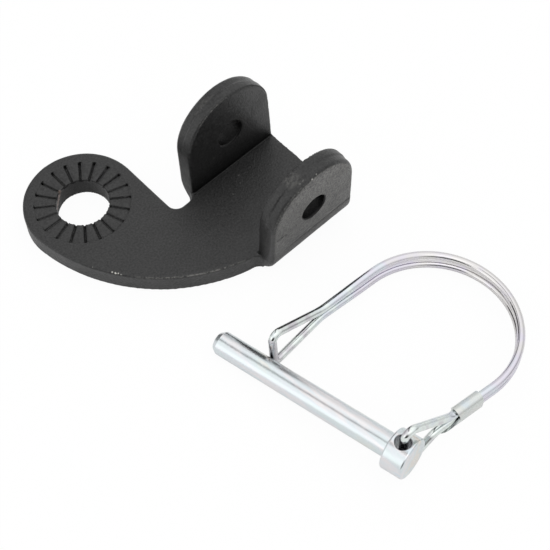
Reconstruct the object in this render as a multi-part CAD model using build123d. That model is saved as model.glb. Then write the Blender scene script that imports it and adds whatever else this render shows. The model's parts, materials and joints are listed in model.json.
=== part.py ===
from build123d import *
import os
from math import acos, asin, atan2, cos, degrees, radians, sin, sqrt, tan

# Bicycle trailer hitch: a thick steel bracket for the rear axle, and its wire-lock pin lying beside it.
# Millimetres. Origin: centre of the axle hole on the bracket's underside. +X along the ears, +Z up.

# Bracket: toothed ring and curved arm
axle_hole_d = 13.4
axle_hole_edge_r = 0.25
ring_d = 29.7
plate_t = 6.0
arm_bow_r = 45.9            # outer edge of the arm, one arc from the ring to the near ear
arm_inset = 4.7             # from the near ear's outer face to the end of that arc
web_r = 2.0                 # inside corner between the arm's edge and the near ear
notch_r = 2.6               # corners of the notch between the ring and the far ear
notch_depth = 0.8           # how far the notch runs past the far ear's inner face
edge_r = 0.6                # rounding of the arm's edges and of the ears' inner edges

# Bracket: teeth on the ring
tooth_count = 20
tooth_ring_d = 24.2
tooth_ring_recess = 0.25
groove_w = 1.0
groove_depth = 0.95
groove_end = 0.35           # from the axle hole to the inner end of each groove

# Bracket: channel and ears
ear_x = 34.75               # middle of the ears, from the axle hole
channel_y = -29.1           # middle of the gap between the ears, from the axle hole
ear_gap = 23.7
ear_w = 26.4
ear_t = 5.1
ear_top = 32.5
ear_foot_out = 0.9          # how far the ears run out at the foot of their open end
ear_roll_r = 1.1            # rounding of the ears' outer edges
ear_splay = 1.6             # degrees that each ear leans outwards
bend_r_out = 8.0
bend_r_in = 0.2
pin_hole_d = 7.7
pin_hole_z = 18.6
pin_hole_edge_r = 0.2

# Lock pin
shank_d = 6.0
shank_len = 48.9
head_d = 10.3
head_len = 5.7
head_edge_r = 0.5
tip_chamfer = 0.7
tip_chamfer_len = 1.1
bail_hole_d = 3.8
bail_hole_edge_r = 0.25

# Lock pin: where it lies
pin_head_at = (8.73, -101.52)
pin_turn = 100.24           # degrees from +X to the way the tip points

# Wire bail and its ferrule
wire_d = 2.0
strand_gap = 0.06           # between the two strands inside the ferrule
strand_fan = 1.1            # degrees that each strand leaves the other round the bow
bow_r = 20.5
near_run = 27.3             # from the head's cross hole to the start of the bow
far_run = 32.5              # from the end of the bow to the eye's bar
far_toe = 3.3               # degrees that the far run closes in towards the near run
far_lead = 5.0              # straight stretch after the bow before the strands close in
strand_bend_r = 60.0
eye_len = 15.4
eye_top_h = 5.8             # wire centre at the top of the bar, from the bail's middle plane
eye_foot_h = 4.7            # wire centre at the foot of the bar
eye_foot_in = 1.0           # how far the foot of the bar stands in towards the near run
eye_throat = 2.7            # between wire centres where the eye opens
eye_throat_bend_r = 12.0
eye_top_bend_r = 1.8
eye_foot_bend_r = 1.3
loop_top_h = 9.9            # upper corner of the small loop in the head, from the bail's middle plane
loop_foot_h = 9.0           # its lower corner
loop_bend_r = 1.8
loop_mouth_bend_r = 4.0
loop_mouth_lead = 1.2       # from the ferrule's mouth to the wire's corner outside it
loop_ground_gap = 0.15      # under the small loop, which leans a little
ferrule_end_x = 22.9
ferrule_lip_top_x = 15.4
ferrule_lip_mid_x = 16.0
ferrule_lip_foot_x = 11.0
ferrule_wall = 0.5
ferrule_fit = 0.06
wire_butt_x = 19.5          # where the wire's two ends meet inside the ferrule
wire_butt_gap = 0.3
bail_rest_gap = 0.6         # between the eye's bar and the shank
bow_rest_angle = 60.0       # degrees round the bow to the place that touches the ground

ring_r = ring_d / 2
ear_left = ear_x - ear_w / 2
ear_crown_z = ear_top - ear_w / 2
splay_slope = tan(radians(ear_splay))
join_depth = 2 * ear_roll_r  # how far the arm runs into the channel's floor
cut_margin = 1.0            # how far cutting tools pass beyond the faces that they cut
same = 1e-4                 # lengths closer than this count as equal
wire_r = wire_d / 2
shank_r = shank_d / 2
head_r = head_d / 2
strand_lay = wire_r + strand_gap / 2


def ear_face(z, side, depth):
    """Point (y, z) on an ear's inner face, or that deep behind it; side is -1 near, +1 far."""
    out = ear_gap / 2 + depth / cos(radians(ear_splay)) + (z - plate_t) * splay_slope
    return (channel_y + side * out, z)


def channel_profile():
    """Section of the channel across the ears: a floor with two splayed walls and rounded bends."""
    over = ear_top + cut_margin
    near = [ear_face(plate_t, -1, 0), ear_face(over, -1, 0)]
    near += [ear_face(over, -1, ear_t), ear_face(0, -1, ear_t)]
    far = [ear_face(0, 1, ear_t), ear_face(over, 1, ear_t)]
    far += [ear_face(over, 1, 0), ear_face(plate_t, 1, 0)]
    section = make_face(Polyline(*near, *far, close=True))
    section = fillet(section.vertices().filter_by(lambda v: abs(v.Y) < same), bend_r_out)
    return fillet(section.vertices().filter_by(lambda v: abs(v.Y - plate_t) < same), bend_r_in)


def skin_depth(spot):
    """How far a point of the channel lies behind its inner faces."""
    wall = abs(spot.Y - channel_y) - (ear_face(spot.Z, 1, 0)[0] - channel_y)
    return max(wall, plate_t - spot.Z)


def rim_edges(body, inner):
    """Edges round the outline of the channel's inner faces, or of its outer ones."""
    lengthwise = body.edges().filter_by(Axis.X)
    across = [e for e in body.edges() if e not in lengthwise]
    return [e for e in across if all((skin_depth(v) < ear_t / 2) == inner for v in e.vertices())]


def channel():
    """Channel floor and the two ears, with round tops and the cross hole for the pin."""
    body = extrude(Plane.YZ.offset(ear_left) * channel_profile(), ear_w + ear_foot_out)
    crown = Pos(ear_x, ear_crown_z) * Edge.make_circle(ear_w / 2)
    foot = Edge.make_line((ear_left, 0), (ear_left + ear_w + ear_foot_out, 0))
    reach = abs(channel_y) + ear_gap + ear_top
    body &= extrude(Plane.XZ * make_hull([crown, foot]), reach, both=True)
    body = fillet(rim_edges(body, False), ear_roll_r)
    body = fillet(rim_edges(body, True), edge_r)
    drill = Pos(ear_x, channel_y, pin_hole_z) * Rot(X=90) * Cylinder(pin_hole_d / 2, 2 * reach)
    body -= drill
    return fillet(body.edges().filter_by(lambda e: e.is_closed), pin_hole_edge_r)


def arm_outline():
    """Plan of the ring and arm, up to a little way inside the channel's floor."""
    arm_end = Vector(ear_left, ear_face(0, -1, ear_t)[0] + arm_inset)
    swing = arm_bow_r - ring_r
    lean = acos((arm_end.length**2 + swing**2 - arm_bow_r**2) / (2 * arm_end.length * swing))
    turn = atan2(arm_end.Y, arm_end.X) + lean
    bow = Vector(swing * cos(turn), swing * sin(turn))
    ring_touch = bow.normalized() * -ring_r

    web_x = ear_left - web_r
    web = Vector(web_x, bow.Y - sqrt((arm_bow_r + web_r)**2 - (web_x - bow.X)**2))
    web_start = bow + (web - bow).normalized() * arm_bow_r
    web_end = Vector(ear_left, web.Y)
    web_mid = web + ((web_start - web).normalized() + Vector(1, 0)).normalized() * web_r
    bow_mid = bow + (ring_touch + web_start - bow * 2).normalized() * arm_bow_r

    notch_floor = ear_face(plate_t, 1, 0)[0] - notch_depth
    notch_side = notch_floor + notch_r
    join_x = ear_left + join_depth
    bulge = notch_r * sin(radians(45))
    left_mid = (ring_r + notch_r - bulge, notch_side - bulge)
    right_mid = (ear_left - notch_r + bulge, notch_side - bulge)
    outline = [
        ThreePointArc(ring_touch, bow_mid, web_start),
        ThreePointArc(web_start, web_mid, web_end),
        Polyline(web_end, (join_x, web.Y), (join_x, notch_side), (ear_left, notch_side)),
        ThreePointArc((ear_left, notch_side), right_mid, (ear_left - notch_r, notch_floor)),
        Line((ear_left - notch_r, notch_floor), (ring_r + notch_r, notch_floor)),
        ThreePointArc((ring_r + notch_r, notch_floor), left_mid, (ring_r, notch_side)),
        Line((ring_r, notch_side), (ring_r, 0)),
        ThreePointArc((ring_r, 0), (0, ring_r), ring_touch),
    ]
    return make_face(outline)


def bend_trim(side, start_x):
    """What lies outside one of the channel's rounded bends, from start_x to the arm's end in the floor."""
    corner = ear_face(0, side, ear_t)[0]
    outside = Pos(corner, bend_r_out / 2) * Rectangle(2 * bend_r_out, bend_r_out) - channel_profile()
    return extrude(Plane.YZ.offset(start_x) * outside, ear_left + join_depth - start_x)


def arm():
    """Ring and curved arm in one thickness, with the axle hole and the ring of teeth."""
    body = extrude(arm_outline(), plate_t)
    rims = body.edges().filter_by(Plane.XY)
    body = fillet([e for e in rims if e.center().X < ear_left - same], edge_r)
    body -= bend_trim(-1, 0)
    body -= bend_trim(1, ear_left)
    body -= Cylinder(axle_hole_d / 2, 3 * plate_t)
    lowest = (Align.CENTER, Align.CENTER, Align.MIN)
    body -= Pos(0, 0, plate_t - tooth_ring_recess) * Cylinder(tooth_ring_d / 2, plate_t, align=lowest)
    rims = body.edges().filter_by(GeomType.CIRCLE)
    hole_rims = rims.filter_by(lambda e: abs(e.radius - axle_hole_d / 2) < same)
    body = fillet(hole_rims.sort_by(Axis.Z)[-1], axle_hole_edge_r)
    groove_start = axle_hole_d / 2 + groove_end
    groove_len = tooth_ring_d / 2 - groove_start
    groove = Box(groove_len, groove_w, plate_t, align=(Align.MIN, Align.CENTER, Align.MIN))
    for i in range(tooth_count):
        body -= Rot(Z=360 * i / tooth_count) * Pos(groove_start, 0, plate_t - groove_depth) * groove
    return body


# The bail in its own flat frame: origin on the cross hole's axis, X along the near run, Y to the far run
bow_end_angle = radians(90 + far_toe)
bow_end = Vector(near_run + bow_r * cos(bow_end_angle), bow_r + bow_r * sin(bow_end_angle))
far_way = Vector(cos(radians(far_toe)), sin(radians(far_toe)))
eye_at = bow_end - far_way * far_run
bow_turn = radians(bow_rest_angle)
bow_rest = Vector(near_run + bow_r * cos(bow_turn), bow_r + bow_r * sin(bow_turn))
loop_foot_x = ferrule_lip_foot_x - loop_mouth_lead
loop_top_x = ferrule_lip_top_x - loop_mouth_lead
loop_turn = radians(90) + atan2(loop_foot_h - strand_lay, loop_foot_x)
loop_reach = loop_foot_h - loop_bend_r * tan(loop_turn / 2) + loop_bend_r

# How the pin and the bail lie on the ground: on the tip, the loop under the head, the eye and the bow
head_z = loop_reach + wire_r + loop_ground_gap
pin_reach = head_len / 2 + shank_len - tip_chamfer_len
pin_rise = asin((head_z - shank_r) / pin_reach)
pin_pivot = Vector(*pin_head_at, head_z)
eye_swing = degrees(asin((shank_r + wire_r + bail_rest_gap) / eye_at.length))
bail_turn = radians(pin_turn - eye_swing) - atan2(eye_at.Y, eye_at.X)


def on_ground_plan(flat, height):
    """Place of a point of the flat bail once it lies turned about the cross hole."""
    x = pin_head_at[0] + flat.X * cos(bail_turn) - flat.Y * sin(bail_turn)
    y = pin_head_at[1] + flat.X * sin(bail_turn) + flat.Y * cos(bail_turn)
    return Vector(x, y, height)


eye_seat = on_ground_plan(eye_at, eye_foot_h + wire_r)
bow_seat = on_ground_plan(bow_rest, strand_lay + bow_rest.Y * tan(radians(strand_fan)) + wire_r)
bail_up = (bow_seat - pin_pivot).cross(eye_seat - pin_pivot).normalized()
bail_frame = Plane(pin_pivot, x_dir=Vector(cos(bail_turn), sin(bail_turn), 0), z_dir=bail_up)
tip_plan = Vector(cos(radians(pin_turn)), sin(radians(pin_turn)))
tip_way = tip_plan * cos(pin_rise) - Vector(0, 0, sin(pin_rise))
hole_up = (bail_up - tip_way * bail_up.dot(tip_way)).normalized()
pin_frame = Plane(pin_pivot, x_dir=tip_way, z_dir=hole_up)


def lock_pin():
    """Turned pin along X: head round the origin, cross hole along Z, chamfered tip."""
    back = -head_len / 2
    neck = head_len / 2
    tip = neck + shank_len
    profile = Polyline(
        (back, 0), (back, head_r), (neck, head_r), (neck, shank_r),
        (tip - tip_chamfer_len, shank_r), (tip, shank_r - tip_chamfer), (tip, 0), close=True,
    )
    pin = revolve(make_face(profile), Axis.X)
    rims = pin.edges().filter_by(GeomType.CIRCLE).filter_by(lambda e: abs(e.radius - head_r) < same)
    pin = fillet(rims, head_edge_r)
    pin -= Cylinder(bail_hole_d / 2, head_d + 2 * cut_margin)
    mouths = pin.edges().filter_by(lambda e: e.geom_type not in (GeomType.LINE, GeomType.CIRCLE))
    return fillet(mouths, bail_hole_edge_r)


def strand_plane(side):
    """Plane of one strand, hinged open along the near run; side is +1 for the upper strand."""
    fan = radians(strand_fan) * side
    return Plane((0, 0, side * strand_lay), x_dir=(1, 0, 0), z_dir=(0, -sin(fan), cos(fan)))


def far_point(distance, height):
    """Point on the far run, that far before the eye's bar."""
    spot = eye_at + far_way * distance
    return Vector(spot.X, spot.Y, height)


def wire_path():
    """The bent wire from end to end: upper strand, eye, lower strand, small loop in the head."""
    upper = strand_plane(1)
    lower = strand_plane(-1)
    mid_angle = (bow_end_angle - radians(90)) / 2
    start = (near_run, 0)
    middle = (near_run + bow_r * cos(mid_angle), bow_r + bow_r * sin(mid_angle))
    end = (bow_end.X, bow_end.Y)
    lead = bow_end - far_way * far_lead

    def on(plane, spot):
        return plane.from_local_coords(Vector(spot[0], spot[1], 0))

    eye_foot = far_point(0, -eye_foot_h) - Vector(-far_way.Y, far_way.X) * eye_foot_in
    eye = FilletPolyline(
        on(upper, end), on(upper, (lead.X, lead.Y)), far_point(eye_len, eye_throat / 2),
        far_point(0, eye_top_h), eye_foot, far_point(eye_len, -eye_throat / 2),
        on(lower, (lead.X, lead.Y)), on(lower, end),
        radius=[strand_bend_r, eye_throat_bend_r, eye_top_bend_r]
        + [eye_foot_bend_r, eye_throat_bend_r, strand_bend_r],
    )
    loop = FilletPolyline(
        on(lower, start), (loop_foot_x, 0, -strand_lay), (0, 0, -loop_foot_h), (0, 0, loop_top_h),
        (loop_top_x, 0, strand_lay), (wire_butt_x - wire_butt_gap, 0, strand_lay),
        radius=[loop_mouth_bend_r, loop_bend_r, loop_bend_r, loop_mouth_bend_r],
    )
    runs = [
        Line((wire_butt_x, 0, strand_lay), on(upper, start)),
        ThreePointArc(on(upper, start), on(upper, middle), on(upper, end)),
        eye,
        ThreePointArc(on(lower, end), on(lower, middle), on(lower, start)),
        loop,
    ]
    return Wire([edge for run in runs for edge in run.edges()])


def wire_bail():
    """Round wire swept along its path."""
    path = wire_path()
    section = Plane(path @ 0, z_dir=path % 0) * Circle(wire_r)
    return sweep(section, path)


def ferrule():
    """Flattened sleeve round the two strands, its mouth cut at a slant towards the head."""
    bore = SlotCenterToCenter(2 * strand_lay, wire_d + 2 * ferrule_fit)
    skin = SlotCenterToCenter(2 * strand_lay, wire_d + 2 * ferrule_fit + 2 * ferrule_wall)
    section = Plane.YZ.offset(ferrule_lip_foot_x) * Rot(Z=90) * (skin - bore)
    sleeve = extrude(section, ferrule_end_x - ferrule_lip_foot_x)
    half_h = strand_lay + wire_r + ferrule_fit + ferrule_wall
    mouth = Polyline(
        (ferrule_lip_foot_x, -half_h), (ferrule_lip_mid_x, 0), (ferrule_lip_top_x, half_h),
        (ferrule_lip_foot_x, half_h), close=True,
    )
    return sleeve - extrude(Plane.XZ * make_face(mouth), wire_d + ferrule_wall + cut_margin, both=True)


nodes = {
    "bracket": arm() + channel(),
    "lock_pin": pin_frame.location * lock_pin(),
    "wire_bail": bail_frame.location * wire_bail(),
    "ferrule": bail_frame.location * ferrule(),
}

os.makedirs("parts", exist_ok=True)
for name, solid in nodes.items():
    solid.label = name
    export_step(solid, os.path.join("parts", f"{name}.step"))
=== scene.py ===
import json
import math
import bpy
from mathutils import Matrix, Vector, noise


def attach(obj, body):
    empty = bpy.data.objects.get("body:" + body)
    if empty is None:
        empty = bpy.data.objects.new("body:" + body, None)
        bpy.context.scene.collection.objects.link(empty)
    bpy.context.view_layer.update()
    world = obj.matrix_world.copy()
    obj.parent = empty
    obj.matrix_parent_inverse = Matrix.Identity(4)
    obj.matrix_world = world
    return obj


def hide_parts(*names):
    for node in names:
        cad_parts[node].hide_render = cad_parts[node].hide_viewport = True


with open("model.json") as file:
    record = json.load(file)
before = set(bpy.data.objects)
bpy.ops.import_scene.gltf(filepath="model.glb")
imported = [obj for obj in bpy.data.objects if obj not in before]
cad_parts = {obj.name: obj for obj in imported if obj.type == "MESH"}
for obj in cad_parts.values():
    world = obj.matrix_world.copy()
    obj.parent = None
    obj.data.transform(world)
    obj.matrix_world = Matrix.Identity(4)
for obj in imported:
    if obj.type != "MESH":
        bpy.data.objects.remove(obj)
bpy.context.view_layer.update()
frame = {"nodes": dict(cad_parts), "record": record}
mounts = {m["name"]: m for m in frame["record"]["mounts"]}
hinge = frame["record"]["behaviour"]["joints"][0]

MM = 0.001                          # sizes and places below are in millimetres
MIX_A, MIX_B, MIX_OUT = 6, 7, 2     # colour sockets of a Mix node

# Camera: above the pin's side of the bracket, looking down
camera_at = (-86.99, -162.13, 276.43)
camera_aim = (22.75, -45.68, 0.0)
camera_lens, camera_sensor = 85.09, 36.0
camera_near = 10.0

# Studio
floor_half = 900.0
floor_white = "f4f4f4"
backdrop_share = 0.95       # of plain white in the floor that the camera sees, over its real shadow
mirror_share = 0.15         # the same in the floor that shines back from metal and coat
room_low, room_high = 0.8, 1.3          # light of the walls and from above
room_low_at, room_high_at = 0.2, 0.9    # heights between which it grows
rim_from, rim_to = 0.5, 1.5             # soft rim of what is in the room, as shares of its reach
room_patches = [            # directions, their reach and their light
    ((0.68, 0.72, 0.05), 0.6, 0.95),       # shade behind the object
    ((-0.82, -0.47, 0.15), 0.46, 0.02),    # dark curtain on the left
    ((-0.91, 0.27, 0.3), 0.36, 1.5),       # window on the left
    ((0.72, -0.69, 0.05), 0.3, 0.5),       # dark wall on the right
    ((-0.29, -0.16, 0.94), 0.3, 1.6),      # lamp overhead
]
boom_side, boom_half, boom_light = (0.859, -0.366, 0.359), 0.1, 0.2   # dark beam overhead
boom_from_y, boom_to_y = 0.1, 0.3       # it fades in towards the far side

# Bracket: the sizes that its marks follow, as in the solid
plate_t = 6.0
ear_gap = 23.7
ear_t = 5.1
ear_splay = 1.6             # degrees
ear_crown = (34.75, 0, 19.3)            # centre of the ears' round tops, at any Y
floor_end_x = 48.3          # channel floor's open end, where its face starts
axle_hole_r = mounts["axle_bore"]["dims"]["r_mm"]
pin_hole_r = mounts["clevis_bore"]["dims"]["r_mm"]
pin_hole_x, channel_y, pin_hole_z = (place / MM for place in mounts["clevis_bore"]["pos_m"])

# Bracket: its skin
weld_gap = 0.001
coat_voxel = 0.2
coat_softening, coat_passes = 0.5, 2
coat_triangles = 190000

# Bracket: the ring's grooves, pressed as a V that lies to one side and opens into the axle hole
tooth_count = 20
groove_w = 1.0
groove_from_r, groove_to_r = 6.6, 12.06
groove_deep, groove_shallow = 1.0, 0.33     # below the plate's face
groove_search = 1.25                        # how far down a groove is looked for, as a share of its depth
groove_mid, groove_half = 0.64, 0.4         # the V's bottom and half its width, as shares of the groove's
groove_wall = 0.12                          # share of the width that each wall takes up

# Bracket: press marks
wave_size, wave_depth = 7.0, 0.05
ripple_size, ripple_depth = 1.6, 0.02
seam_at, seam_step, seam_width = 2.3, 0.24, 0.25        # over the ears' crowns, from their inner faces
seam_inset = 0.3                                        # how far from those faces it starts
seam_low_z, seam_rise = 20.0, 6.0                       # where it fades in
crease_z, crease_depth, crease_width = 9.4, 0.16, 0.4   # across the foot of the ears' outer faces
crease_from_x, crease_to_x = 24.0, 31.0                 # where it fades in
scratch_from, scratch_to = (23.0, -46.34, 16.5), (25.6, -46.34, 16.3)
scratch_depth, scratch_width = 0.14, 0.26
outer_share = 0.8           # of the ears' thickness, past which a face is the outer one
edge_turn, face_turn = 0.6, 0.7     # a normal's Y: less on the ears' edges, more on their faces
ragged_size, ragged_depth = 2.4, 0.45                   # sheared end of the channel floor
ragged_stretch = 4.0        # how much longer its tears are down the face
end_turn, end_reach = 0.6, 0.8      # least X of its normals, and how far back its soft edge reaches
pin_hole_coat = 0.2         # how thick the powder lies in the ears' cross hole

# Powder coat: its colours and its pattern
coat_hollow, coat_grain = "080808", "292929"            # between the melted grains and on them
# painted light on the near ear's outer face
painted_light_grey = "676662"
chip_steel, painted_shade_steel, streak_steel = "c2c0ba", "161616", "b39e95"
gloss_size, grain_size, wear_size = 5.0, 0.5, 0.6       # changes in gloss, orange peel, outline of wear
coat_rough_low, coat_rough_high = 0.36, 0.46
peel_strength, peel_depth = 0.6, 0.15
lit_face_y = -45.2              # outer face of the near ear, which is painted lighter
lit_low_z, lit_high_z, lit_least = 6.0, 28.0, 0.4    # the painted light fades towards the ear's foot

# Powder coat: painted shade, as dark bare steel, in the sharpest corners, at the foot of the ears' inner
# faces and in the holes
corner_rays = 8             # that look for walls close by
sharp_reach = 0.8           # to the other wall of the sharpest corners
bend_from_x, bend_reach, bend_share = 21.5, 7.0, 0.75   # foot of the ears' inner faces
bend_lift = 0.12            # above the channel floor, which stays free of painted shade
corner_reach, corner_share = 0.5, 0.6                   # the corner at that foot
axle_hole_rim, pin_hole_rim = 0.08, 0.1     # how far the painted shade reaches outside the holes' walls
bores = [                   # centre, plane, radius and share of painted shade
    ((0, 0, 0), (1, 1, 0), axle_hole_r + axle_hole_rim, 0.4),
    ((pin_hole_x, 0, pin_hole_z), (1, 0, 1), pin_hole_r + pin_hole_rim, 0.7),
]

# Powder coat: wear, as spots with their radius and share of bare steel
wear_shake = 0.7            # how far its outline strays
spot_core = 0.5             # share of a spot's radius within which it is even
chips = [
    ((-7.6, -20.8, 5.95), 0.26, 0.7), ((-7.25, -21.4, 5.95), 0.3, 1.0),
    ((-6.9, -22.0, 5.93), 0.3, 1.0), ((-6.5, -22.7, 5.9), 0.26, 0.7),
    ((-10.2, -16.3, 5.9), 0.3, 0.2),
    ((33.7, -20.8, 6.0), 0.3, 0.1), ((32.3, -22.8, 6.0), 0.3, 0.08), ((28.7, -24.0, 6.0), 0.3, 0.1),
    ((29.1, -17.0, 13.9), 0.3, 0.1), ((27.5, -16.8, 21.5), 0.25, 0.08),
    ((33.5, -46.6, 31.9), 0.3, 0.7), ((34.9, -46.4, 32.2), 0.25, 0.4), ((29.4, -46.6, 30.8), 0.35, 0.18),
    ((30.6, -45.6, 31.8), 0.3, 0.14), ((31.5, -45.6, 32.1), 0.3, 0.12),
]
rubbed = [                  # bare streak down the axle hole's wall
    ((-2.2, 6.34, 5.3), 0.7, 0.35), ((-2.8, 6.09, 4.5), 0.7, 0.55), ((-3.4, 5.77, 3.7), 0.75, 0.6),
    ((-4.1, 5.3, 3.1), 0.75, 0.6), ((-4.7, 4.78, 2.7), 0.7, 0.7),
]
grit = ((30.1, -43.5, 31.6), 2.6, 0.08)     # rough patch on the near ear's edge
worn_edges = [              # arcs of rubbed edge: centre, plane and radius, then the worn stretch
    (((30.83, 3.78, 0), (1, 1, 0), 45.72), ((5.75, -34.5, 5.8), 16.0, 0.2)),
    ((ear_crown, (1, 0, 1), 12.85), ((25.0, -50.0, 27.5), 11.0, 0.09)),
    ((ear_crown, (1, 0, 1), 13.1), ((30.0, -19.0, 31.5), 6.5, 0.2)),
]
worn_width = 0.13

# Zinc: tints of its clear chromate, by their place in a slow drift
pin_zincs = [(0.3, "cfd8de"), (0.42, "dfdcdd"), (0.5, "d4d9dd"), (0.58, "d2dbdc"), (0.68, "ded9d2")]
wire_zincs = [(0.3, "c6c4c8"), (0.38, "dbe2de"), (0.46, "cdd3d9"), (0.56, "d0ccd7"), (0.7, "d3d1d0")]
ferrule_zincs = [(0.3, "c6ced2"), (0.42, "cccfcd"), (0.5, "c8cdca"), (0.58, "cfd0cc"), (0.68, "cbcdd0")]
pin_rough, wire_rough, ferrule_rough = 0.25, 0.08, 0.22
tint_size = 4.0
draw_mark_size, draw_mark_strength, draw_mark_depth = 1.2, 0.5, 0.05
painted_shade_zinc, shade_reach = "505154", 1.2     # painted shade where two walls come close
bore_zinc = "b4b5b8"
bore_rim_from, bore_rim_to = 1.01, 1.06         # where a bore's darker colour ends, as shares of its radius
wire_light_drift, wire_light_share = (5, 60), 0.45    # across which X the wire goes through its tints, partly painted light and shade along it
pin_axis = mounts["pin_shank"]["axis"]
pin_turn = math.degrees(math.atan2(-pin_axis[0], pin_axis[1]))      # from +Y
pin_stretch = 5.0           # how much longer its tints are along it
cross_hole_r = 1.9
cross_hole = hinge["pos_m"], hinge["axis"], cross_hole_r * MM        # in the pin's head


def linear(colour):
    """sRGB hex value as linear RGBA."""
    parts = [int(colour[i:i + 2], 16) / 255 for i in (0, 2, 4)]
    return [p / 12.92 if p <= 0.04045 else ((p + 0.055) / 1.055) ** 2.4 for p in parts] + [1.0]


def per_size(size_mm):
    """Scale of a texture on metre coordinates whose features are that many millimetres wide."""
    return 1 / (size_mm * MM)


def add(tree, kind, settings=None, sockets=None):
    """Adds one node. Settings are its own values, and sockets are its inputs' values or the outputs that
    feed them."""
    made = tree.nodes.new(kind)
    for name, value in (settings or {}).items():
        setattr(made, name, value)
    for key, value in (sockets or {}).items():
        if isinstance(value, bpy.types.NodeSocket):
            tree.links.new(value, made.inputs[key])
        else:
            made.inputs[key].default_value = value
    return made


def new_material(name):
    """A new material, its nodes and its shader."""
    made = bpy.data.materials.new(name)
    made.use_nodes = True
    return made, made.node_tree, made.node_tree.nodes["Principled BSDF"]


def spot_mask(tree, place, at, size, share):
    """Share of bare metal round a point, soft at its rim."""
    away = add(tree, "ShaderNodeVectorMath", {"operation": "DISTANCE"}, {0: place, 1: Vector(at) * MM})
    return add(tree, "ShaderNodeMapRange", sockets={
        "Value": away.outputs["Value"], "From Min": spot_core * size * MM, "From Max": size * MM,
        "To Min": share, "To Max": 0.0}).outputs[0]


def from_axis(tree, place, at, plane):
    """Distance from an axis through a point, square to a plane."""
    away = add(tree, "ShaderNodeVectorMath", {"operation": "SUBTRACT"}, {0: place, 1: Vector(at) * MM})
    away = add(tree, "ShaderNodeVectorMath", {"operation": "MULTIPLY"}, {0: away.outputs[0], 1: plane})
    return add(tree, "ShaderNodeVectorMath", {"operation": "LENGTH"}, {0: away.outputs[0]}).outputs["Value"]


def most_of(tree, masks):
    """The greatest of several masks."""
    most = masks[0]
    for mask in masks[1:]:
        most = add(tree, "ShaderNodeMath", {"operation": "MAXIMUM"}, {0: most, 1: mask}).outputs[0]
    return most


def ear_painted_light(tree, where, speckle):
    """Mask of painted light on the grains of the near ear's outer face."""
    spread = add(tree, "ShaderNodeSeparateXYZ", sockets={0: where.outputs["Object"]})
    facing = add(tree, "ShaderNodeSeparateXYZ", sockets={0: where.outputs["Normal"]})
    outer = add(tree, "ShaderNodeMath", {"operation": "LESS_THAN"}, {
        0: spread.outputs["Y"], 1: lit_face_y * MM})
    flat = add(tree, "ShaderNodeMapRange", sockets={
        "Value": facing.outputs["Y"], "From Min": -0.98, "From Max": -0.85, "To Min": 1.0, "To Max": 0.0})
    high = add(tree, "ShaderNodeMapRange", sockets={
        "Value": spread.outputs["Z"], "From Min": lit_low_z * MM, "From Max": lit_high_z * MM,
        "To Min": lit_least, "To Max": 1.0})
    painted_light = outer.outputs[0]
    for mask in (flat, high, speckle):
        painted_light = add(tree, "ShaderNodeMath", {"operation": "MULTIPLY"}, {
            0: painted_light, 1: mask.outputs[0]}).outputs[0]
    return painted_light


def coat_wear(tree, coords, place, broken):
    """Mask of the grey steel that shows in chips, in grit and along rubbed edges."""
    rough_parts = [spot_mask(tree, place, *grit)]
    for (at, plane, radius), stretch in worn_edges:
        line = add(tree, "ShaderNodeMath", {"operation": "COMPARE"}, {
            0: from_axis(tree, coords, at, plane), 1: radius * MM, 2: worn_width * MM})
        line = add(tree, "ShaderNodeMath", {"operation": "MULTIPLY"}, {
            0: line.outputs[0], 1: spot_mask(tree, place, *stretch)})
        rough_parts.append(line.outputs[0])
    rough_parts = add(tree, "ShaderNodeMath", {"operation": "MULTIPLY"}, {
        0: most_of(tree, rough_parts), 1: broken.outputs[0]})
    return most_of(tree, [rough_parts.outputs[0]] + [spot_mask(tree, place, *chip) for chip in chips])


def painted_shade_coat(tree, coords):
    """Mask of painted shade, given the look of dark bare steel: in the sharpest corners, up the foot
    of the ears' inner faces and in the holes."""
    sharp = add(tree, "ShaderNodeAmbientOcclusion", {"samples": corner_rays}, {
        "Distance": sharp_reach * MM})
    sharp = add(tree, "ShaderNodeMapRange", sockets={
        "Value": sharp.outputs["AO"], "From Min": 0.45, "From Max": 0.7, "To Min": 1.0, "To Max": 0.0})
    spread = add(tree, "ShaderNodeSeparateXYZ", sockets={0: coords})
    past_arm = add(tree, "ShaderNodeMath", {"operation": "GREATER_THAN"}, {
        0: spread.outputs["X"], 1: bend_from_x * MM}).outputs[0]
    over_floor = add(tree, "ShaderNodeMath", {"operation": "GREATER_THAN"}, {
        0: spread.outputs["Z"], 1: (plate_t + bend_lift) * MM}).outputs[0]
    masks = [sharp.outputs[0]]
    for side in (-1, 1):
        away = from_axis(tree, coords, (0, channel_y + side * ear_gap / 2, plate_t), (0, 1, 1))
        corner = add(tree, "ShaderNodeMath", {"operation": "LESS_THAN"}, {0: away, 1: corner_reach * MM})
        bend = add(tree, "ShaderNodeMapRange", sockets={
            "Value": away, "From Min": corner_reach * MM, "From Max": bend_reach * MM,
            "To Min": bend_share, "To Max": 0.0})
        for part, limits in ((corner, (past_arm, corner_share)), (bend, (past_arm, over_floor))):
            for limit in limits:
                part = add(tree, "ShaderNodeMath", {"operation": "MULTIPLY"}, {
                    0: part.outputs[0], 1: limit})
            masks.append(part.outputs[0])
    for at, plane, radius, share in bores:
        inside = add(tree, "ShaderNodeMath", {"operation": "LESS_THAN"}, {
            0: from_axis(tree, coords, at, plane), 1: radius * MM})
        inside = add(tree, "ShaderNodeMath", {"operation": "MULTIPLY"}, {0: inside.outputs[0], 1: share})
        masks.append(inside.outputs[0])
    return most_of(tree, masks)


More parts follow.
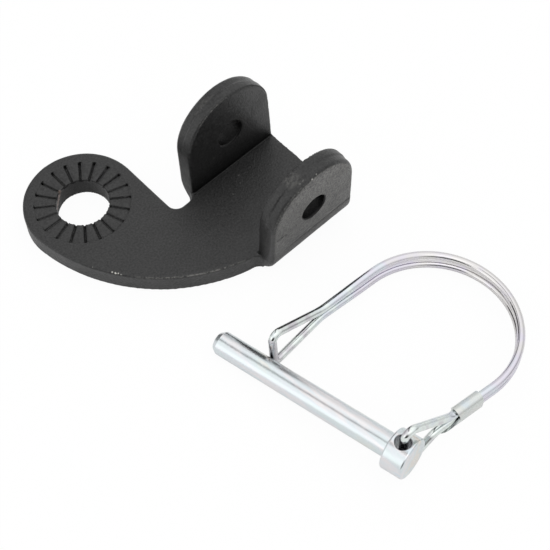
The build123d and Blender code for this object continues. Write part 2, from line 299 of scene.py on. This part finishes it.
def black_powder_coat():
    """Polyester powder baked on pressed steel: near black, satin, with the fine orange peel of melted
    grains. Chips and rubbed edges show the grey steel, and the axle has rubbed a brown streak bare.
    Painted shade darkens the corners and holes, and painted light brightens the near ear's outer face."""
    made, tree, shader = new_material("powder_coated_steel")
    where = add(tree, "ShaderNodeTexCoord")
    coords = where.outputs["Object"]
    gloss, grain, blur = [
        add(tree, "ShaderNodeTexNoise", sockets={
            "Vector": coords, "Scale": per_size(size), "Detail": detail})
        for size, detail in ((gloss_size, 4), (grain_size, 3), (wear_size, 3))]
    speckle = add(tree, "ShaderNodeMapRange", sockets={
        "Value": grain.outputs["Fac"], "From Min": 0.32, "From Max": 0.68})

    # Wear has an uneven outline
    shake = Vector((wear_shake, wear_shake, wear_shake)) * MM
    place = add(tree, "ShaderNodeVectorMath", {"operation": "MULTIPLY_ADD"}, {
        0: blur.outputs["Color"], 1: shake, 2: coords})
    place = add(tree, "ShaderNodeVectorMath", {"operation": "SUBTRACT"}, {
        0: place.outputs[0], 1: shake / 2}).outputs[0]
    broken = add(tree, "ShaderNodeMapRange", sockets={
        "Value": blur.outputs["Fac"], "From Min": 0.4, "From Max": 0.6})

    # Each layer of colour lies over the one before, within its mask
    # Painted shade, as dark metallic steel, in corners, at the ears' inner feet and in the holes
    painted_shade_mask = painted_shade_coat(tree, coords)
    layers = [
        # painted light on the near ear's outer face, over the grains
        (ear_painted_light(tree, where, speckle), painted_light_grey),
        (coat_wear(tree, coords, place, broken), chip_steel),
        (painted_shade_mask, painted_shade_steel),
        (most_of(tree, [spot_mask(tree, place, *spot) for spot in rubbed]), streak_steel),
    ]
    colour = add(tree, "ShaderNodeMix", {"data_type": "RGBA"}, {
        "Factor": speckle.outputs[0], MIX_A: linear(coat_hollow), MIX_B: linear(coat_grain)})
    for mask, tint in layers:
        colour = add(tree, "ShaderNodeMix", {"data_type": "RGBA"}, {
            "Factor": mask, MIX_A: colour.outputs[MIX_OUT], MIX_B: linear(tint)})
    rough = add(tree, "ShaderNodeMapRange", sockets={
        "Value": gloss.outputs["Fac"], "From Min": 0.3, "From Max": 0.7,
        "To Min": coat_rough_low, "To Max": coat_rough_high})
    peel = add(tree, "ShaderNodeBump", sockets={
        "Height": grain.outputs["Fac"], "Strength": peel_strength, "Distance": peel_depth * MM})
    tree.links.new(colour.outputs[MIX_OUT], shader.inputs["Base Color"])
    # the painted shade also makes the coat metallic there
    tree.links.new(painted_shade_mask, shader.inputs["Metallic"])
    tree.links.new(rough.outputs[0], shader.inputs["Roughness"])
    tree.links.new(peel.outputs["Normal"], shader.inputs["Normal"])
    return made


def bright_zinc(name, tints, roughness, turn=0.0, stretch=1.0, bore=None, light_drift_x=None):
    """Zinc plate under a clear chromate: bright, faintly blue, green and violet by turns, with painted
    shade where two walls come close. Its tints can be stretched along a direction turned from +Y, as on
    drawn bar, or drift from one X to another, which partly paints light and shade along the piece. A bore,
    given by a point, its axis and its radius, is given a darker zinc."""
    made, tree, shader = new_material(name)
    shader.inputs["Metallic"].default_value = 1.0
    shader.inputs["Roughness"].default_value = roughness
    coords = add(tree, "ShaderNodeTexCoord").outputs["Object"]
    along = add(tree, "ShaderNodeMapping", sockets={
        "Vector": coords, "Rotation": (0, 0, -math.radians(turn)), "Scale": (1, 1 / stretch, 1)})
    drift = add(tree, "ShaderNodeTexNoise", sockets={
        "Vector": along.outputs[0], "Scale": per_size(tint_size), "Detail": 3})
    place = drift.outputs["Fac"]
    # A drift along X paints light and shade along the piece, over the chromate's own tints
    if light_drift_x:
        spread = add(tree, "ShaderNodeSeparateXYZ", sockets={0: coords})
        sweep = add(tree, "ShaderNodeMapRange", sockets={
            "Value": spread.outputs["X"], "From Min": light_drift_x[0] * MM, "From Max": light_drift_x[1] * MM})
        place = add(tree, "ShaderNodeMix", {"data_type": "FLOAT"}, {
            "Factor": wire_light_share, 2: place, 3: sweep.outputs[0]}).outputs[0]
    shades = add(tree, "ShaderNodeValToRGB", sockets={"Fac": place})
    stops = shades.color_ramp.elements
    for where, tint in tints:
        stop = stops[0] if where == tints[0][0] else stops.new(where)
        stop.position = where
        stop.color = linear(tint)
    stops.remove(stops[-1])
    # Painted shade: darker zinc where two walls come close
    shade_probe = add(tree, "ShaderNodeAmbientOcclusion", {"samples": corner_rays}, {
        "Distance": shade_reach * MM})
    depth = add(tree, "ShaderNodeMapRange", sockets={
        "Value": shade_probe.outputs["AO"], "From Min": 0.15, "From Max": 0.6})
    colour = add(tree, "ShaderNodeMix", {"data_type": "RGBA"}, {
        "Factor": depth.outputs[0], MIX_A: linear(painted_shade_zinc), MIX_B: shades.outputs["Color"]})
    # The bore is given a darker zinc, which darkens the hole
    if bore:
        at, axis, radius = bore
        away = add(tree, "ShaderNodeVectorMath", {"operation": "SUBTRACT"}, {0: coords, 1: at})
        away = add(tree, "ShaderNodeVectorMath", {"operation": "CROSS_PRODUCT"}, {
            0: away.outputs[0], 1: axis})
        away = add(tree, "ShaderNodeVectorMath", {"operation": "LENGTH"}, {0: away.outputs[0]})
        out = add(tree, "ShaderNodeMapRange", sockets={
            "Value": away.outputs["Value"], "From Min": bore_rim_from * radius,
            "From Max": bore_rim_to * radius})
        colour = add(tree, "ShaderNodeMix", {"data_type": "RGBA"}, {
            "Factor": out.outputs[0], MIX_A: linear(bore_zinc), MIX_B: colour.outputs[MIX_OUT]})
    ripple = add(tree, "ShaderNodeTexNoise", sockets={
        "Vector": along.outputs[0], "Scale": per_size(draw_mark_size), "Detail": 2})
    bump = add(tree, "ShaderNodeBump", sockets={
        "Height": ripple.outputs["Fac"], "Strength": draw_mark_strength,
        "Distance": draw_mark_depth * MM})
    tree.links.new(colour.outputs[MIX_OUT], shader.inputs["Base Color"])
    tree.links.new(bump.outputs["Normal"], shader.inputs["Normal"])
    return made


def finish_node(name, material):
    """Gives a solid of the frame its finish."""
    piece = frame["nodes"][name]
    piece.data.materials.clear()
    piece.data.materials.append(material)


def copy_of(node, name):
    """A new piece with a solid's shape, its loose triangles joined, ready to be worked on."""
    piece = bpy.data.objects.new(name, frame["nodes"][node].data.copy())
    bpy.context.scene.collection.objects.link(piece)
    bpy.ops.object.select_all(action="DESELECT")
    bpy.context.view_layer.objects.active = piece
    piece.select_set(True)
    bpy.ops.object.mode_set(mode="EDIT")
    bpy.ops.mesh.select_all(action="SELECT")
    bpy.ops.mesh.remove_doubles(threshold=weld_gap * MM)
    bpy.ops.object.mode_set(mode="OBJECT")
    return piece


def work(piece, kind, settings):
    """Runs one modifier on the active piece."""
    tool = piece.modifiers.new(kind.lower(), kind)
    for name, value in settings.items():
        setattr(tool, name, value)
    bpy.ops.object.modifier_apply(modifier=tool.name)


def ramp(value, start, width):
    """How far a value has come from a start across a width, from 0 to 1."""
    return min(max((value - start) / width, 0), 1)


def press_mark(spot, normal):
    """How far the pressed surface stands out of its plain form at a point, in millimetres."""
    out = wave_depth * noise.noise(spot / wave_size) + ripple_depth * noise.noise(spot / ripple_size)

    # Depth is measured outwards from the nearer ear's inner face
    depth = abs(spot.y - channel_y) - ear_gap / 2 - (spot.z - plate_t) * math.tan(math.radians(ear_splay))
    crown = ramp(spot.z, seam_low_z, seam_rise)
    if crown > 0 and seam_inset < depth < ear_t and abs(normal.y) < edge_turn:
        out += crown * seam_step * (1 - ramp(depth, seam_at, seam_width))
    if depth > outer_share * ear_t and abs(normal.y) > face_turn:
        fade = ramp(spot.x, crease_from_x, crease_to_x - crease_from_x)
        out -= fade * crease_depth * math.exp(-((spot.z - crease_z) / crease_width) ** 2)
        start, end = Vector(scratch_from), Vector(scratch_to)
        along = ramp((spot - start).dot(end - start), 0, (end - start).length_squared)
        away = (spot - start.lerp(end, along)).length
        out -= scratch_depth * math.exp(-(away / scratch_width) ** 2)
    if math.hypot(spot.x - pin_hole_x, spot.z - pin_hole_z) < pin_hole_r + pin_hole_coat:
        out += pin_hole_coat * max(1 - abs(normal.y), 0)
    if normal.x > end_turn and spot.x > floor_end_x - end_reach and depth < ear_t / 2:
        out -= ragged_depth * abs(noise.noise(Vector((spot.y, spot.z / ragged_stretch, 0)) / ragged_size))
    return out


def groove_floor(spot):
    """Height of the toothed ring's surface at a point in a groove, and elsewhere the point's own height,
    in millimetres."""
    pitch = 2 * math.pi / tooth_count
    turn = math.atan2(spot.y, spot.x)
    reach = math.hypot(spot.x, spot.y)
    share = reach * math.sin(turn - pitch * round(turn / pitch)) / groove_w + 0.5
    if spot.z < plate_t - groove_search * groove_deep or not groove_from_r < reach < groove_to_r:
        return spot.z
    if not -groove_wall < share < 1 + groove_wall:
        return spot.z
    sink = max(1 - abs(share - groove_mid) / groove_half, 0)
    floor_z = plate_t - groove_shallow - (groove_deep - groove_shallow) * sink
    return floor_z if groove_wall < share < 1 - groove_wall else max(spot.z, floor_z)


def coated_bracket():
    """The bracket as pressed and sprayed: soft edges, slight waves, a seam over each ear, V grooves."""
    piece = copy_of("bracket", "coated_bracket")
    work(piece, "REMESH", {"mode": "VOXEL", "voxel_size": coat_voxel * MM})
    work(piece, "SMOOTH", {"factor": coat_softening, "iterations": coat_passes})
    normals = [v.normal.copy() for v in piece.data.vertices]
    for vertex, normal in zip(piece.data.vertices, normals):
        vertex.co += normal * press_mark(vertex.co / MM, normal) * MM
        vertex.co.z = max(groove_floor(vertex.co / MM) * MM, 0)
    work(piece, "DECIMATE", {"ratio": coat_triangles / (2 * len(piece.data.polygons))})
    bpy.ops.object.shade_smooth()
    piece.data.materials.clear()
    piece.data.materials.append(black_powder_coat())
    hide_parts("bracket")
    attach(piece, "hitch")


def studio_floor():
    """Plain white floor: mostly its own white to the camera, with a little of the real shadow."""
    bpy.ops.object.select_all(action="DESELECT")
    bpy.ops.mesh.primitive_plane_add(size=2 * floor_half * MM, location=(0, 0, 0))
    floor = bpy.context.object
    floor.name = "studio_floor"
    made, tree, shader = new_material("painted_floor")
    shader.inputs["Base Color"].default_value = linear(floor_white)
    shader.inputs["Roughness"].default_value = 1.0
    shader.inputs["Specular IOR Level"].default_value = 0.0
    path = add(tree, "ShaderNodeLightPath")
    mirrored = add(tree, "ShaderNodeMath", {"operation": "MAXIMUM"}, {
        0: path.outputs["Is Glossy Ray"], 1: path.outputs["Is Transmission Ray"]})
    mirrored = add(tree, "ShaderNodeMath", {"operation": "MULTIPLY"}, {
        0: mirrored.outputs[0], 1: mirror_share})
    share = add(tree, "ShaderNodeMath", {"operation": "MULTIPLY_ADD"}, {
        0: path.outputs["Is Camera Ray"], 1: backdrop_share, 2: mirrored.outputs[0]})
    white = add(tree, "ShaderNodeEmission", sockets={"Color": (1, 1, 1, 1), "Strength": 1.0})
    mixed = add(tree, "ShaderNodeMixShader", sockets={
        0: share.outputs[0], 1: shader.outputs["BSDF"], 2: white.outputs["Emission"]})
    tree.links.new(mixed.outputs[0], tree.nodes["Material Output"].inputs["Surface"])
    floor.data.materials.append(made)


def studio_world():
    """White to the camera; to everything else a pale room with a few lighter and darker things in it."""
    world = bpy.data.worlds.new("pale_room")
    bpy.context.scene.world = world
    world.use_nodes = True
    tree = world.node_tree
    soft = {"interpolation_type": "SMOOTHSTEP"}
    way = add(tree, "ShaderNodeTexCoord").outputs["Generated"]
    parts = add(tree, "ShaderNodeSeparateXYZ", sockets={0: way})
    seen = add(tree, "ShaderNodeMapRange", soft, {
        "Value": parts.outputs["Z"], "From Min": room_low_at, "From Max": room_high_at,
        "To Min": room_low, "To Max": room_high}).outputs[0]
    for patch_way, reach, light in room_patches:
        away = add(tree, "ShaderNodeVectorMath", {"operation": "DISTANCE"}, {0: way, 1: patch_way})
        seen = add(tree, "ShaderNodeMapRange", soft, {
            "Value": away.outputs["Value"], "From Min": rim_from * reach, "From Max": rim_to * reach,
            "To Min": light, "To Max": seen}).outputs[0]
    aside = add(tree, "ShaderNodeVectorMath", {"operation": "DOT_PRODUCT"}, {0: way, 1: boom_side})
    aside = add(tree, "ShaderNodeMath", {"operation": "ABSOLUTE"}, {0: aside.outputs["Value"]})
    boom = add(tree, "ShaderNodeMapRange", soft, {
        "Value": aside.outputs[0], "From Min": rim_from * boom_half, "From Max": rim_to * boom_half,
        "To Min": boom_light, "To Max": 1.0})
    boom = add(tree, "ShaderNodeMapRange", soft, {
        "Value": parts.outputs["Y"], "From Min": boom_from_y, "From Max": boom_to_y,
        "To Min": 1.0, "To Max": boom.outputs[0]})
    seen = add(tree, "ShaderNodeMath", {"operation": "MULTIPLY"}, {0: seen, 1: boom.outputs[0]})
    path = add(tree, "ShaderNodeLightPath")
    strength = add(tree, "ShaderNodeMath", {"operation": "MAXIMUM"}, {
        0: path.outputs["Is Camera Ray"], 1: seen.outputs[0]})
    background = tree.nodes["Background"]
    background.inputs["Color"].default_value = (1, 1, 1, 1)
    tree.links.new(strength.outputs[0], background.inputs["Strength"])


def photo_camera():
    """Camera at the photograph's angle."""
    data = bpy.data.cameras.new("camera")
    data.lens = camera_lens
    data.sensor_width = camera_sensor
    data.clip_start = camera_near * MM
    holder = bpy.data.objects.new("camera", data)
    bpy.context.scene.collection.objects.link(holder)
    holder.location = Vector(camera_at) * MM
    way = Vector(camera_aim) - Vector(camera_at)
    holder.rotation_euler = way.to_track_quat("-Z", "Y").to_euler()
    bpy.context.scene.camera = holder


coated_bracket()
finish_node("lock_pin", bright_zinc(
    "zinc_plated_turned_steel", pin_zincs, pin_rough, pin_turn, pin_stretch, cross_hole))
finish_node("wire_bail", bright_zinc("zinc_plated_drawn_wire", wire_zincs, wire_rough, light_drift_x=wire_light_drift))
finish_node("ferrule", bright_zinc("zinc_plated_rolled_sheet", ferrule_zincs, ferrule_rough))

studio_floor()
studio_world()
photo_camera()
bpy.context.scene.view_settings.view_transform = "Standard"
